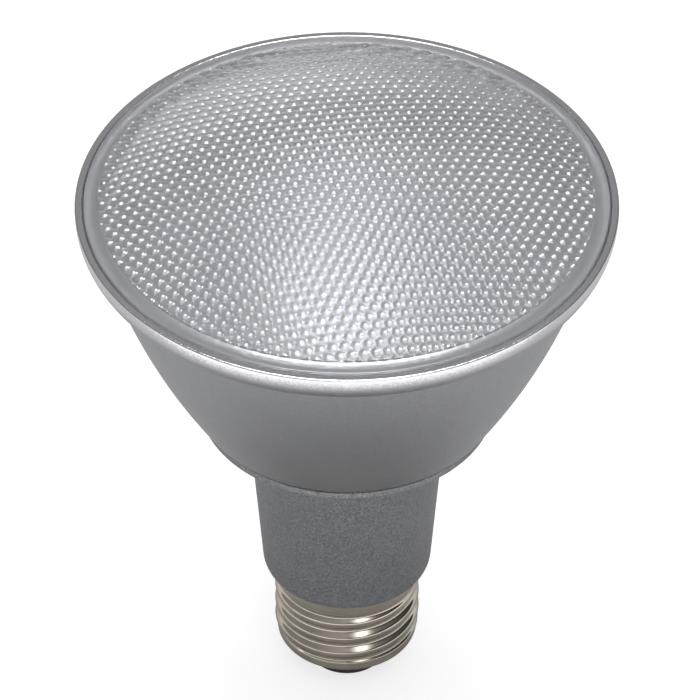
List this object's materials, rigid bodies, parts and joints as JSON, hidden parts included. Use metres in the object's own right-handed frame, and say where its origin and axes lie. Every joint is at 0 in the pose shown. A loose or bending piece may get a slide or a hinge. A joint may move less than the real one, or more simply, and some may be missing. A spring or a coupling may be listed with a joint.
{
  "type": "par spotlight bulb",
  "caption": "Reflector spotlight bulb: flared metal bowl with a clear lenslet front over a mirrored reflector and light board, on a tapered neck with its driver and a medium screw base.",
  "frame": {"origin": "tip of the centre contact, on the lamp's axis", "axes": "+Z along the lamp's axis from the screw base to the lens; -Y is the side that the picture shows"},
  "size_m": [0.095, 0.095, 0.1157],
  "materials": {
    "lens_clear": "clear moulded lens",
    "bowl_silver": "satin silver paint",
    "neck_silver": "silver flake moulding",
    "nickel_plate": "polished nickel plate",
    "insulator_black": "moulded black",
    "contact_metal": "plain",
    "mirror_coat": "metallised",
    "light_board": "white mask",
    "package_white": "moulded white",
    "phosphor_yellow": "cast resin",
    "screw_zinc": "zinc plate",
    "circuit_board": "green mask",
    "sleeve_black": "shrink sleeve",
    "film_case": "moulded case",
    "varistor_coat": "dipped resin",
    "resistor_coat": "dipped resin",
    "ferrite": "sintered",
    "bobbin_plastic": "moulded black",
    "copper_wire": "enamelled",
    "chip_black": "moulded black",
    "wire_red": "insulated wire",
    "wire_black": "insulated wire"
  },
  "bodies": {
    "root": {"front_lens": "lens_clear", "bowl_housing": "bowl_silver", "neck_housing": "neck_silver", "screw_shell": "nickel_plate", "base_insulator": "insulator_black", "centre_contact": "contact_metal", "reflector": "mirror_coat", "led_board": "light_board", "led_bodies": "package_white", "led_phosphors": "phosphor_yellow", "neck_screws": "screw_zinc", "board_screws": "screw_zinc", "driver_board": "circuit_board", "bulk_capacitor": "sleeve_black", "output_capacitor": "sleeve_black", "film_capacitor": "film_case", "varistor": "varistor_coat", "fuse_resistor": "resistor_coat", "filter_choke": "ferrite", "transformer_core": "ferrite", "transformer_bobbin": "bobbin_plastic", "transformer_winding": "copper_wire", "bridge_rectifier": "chip_black", "control_chip": "chip_black", "switch_transistor": "chip_black", "chip_resistors": "chip_black", "live_lead": "wire_red", "neutral_lead": "wire_black", "led_lead_positive": "wire_red", "led_lead_negative": "wire_black"}
  },
  "joints": []
}
